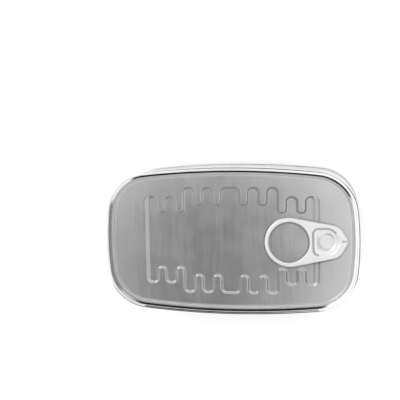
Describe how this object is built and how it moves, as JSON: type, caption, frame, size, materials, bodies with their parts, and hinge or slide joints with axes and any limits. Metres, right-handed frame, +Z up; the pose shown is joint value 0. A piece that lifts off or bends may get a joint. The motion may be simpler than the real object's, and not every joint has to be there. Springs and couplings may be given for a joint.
{
  "type": "sardine tin",
  "caption": "Flat oblong metal fish tin with bowed sides, round corners, a seamed lid with a pressed meander field and a riveted ring-pull tab for peeling it open.",
  "frame": {"origin": "middle of the flat base", "axes": "+Z up, out of the lid; +X along the tin to the nose of the tab; +Y across the tin"},
  "size_m": [0.104, 0.06, 0.03],
  "materials": {
    "can_aluminium": "bright rolled sheet",
    "lid_aluminium": "satin lacquered sheet",
    "tab_aluminium": "bright satin sheet"
  },
  "bodies": {
    "root": {"body": "can_aluminium", "lid": "lid_aluminium", "tab": "tab_aluminium"}
  },
  "joints": []
}
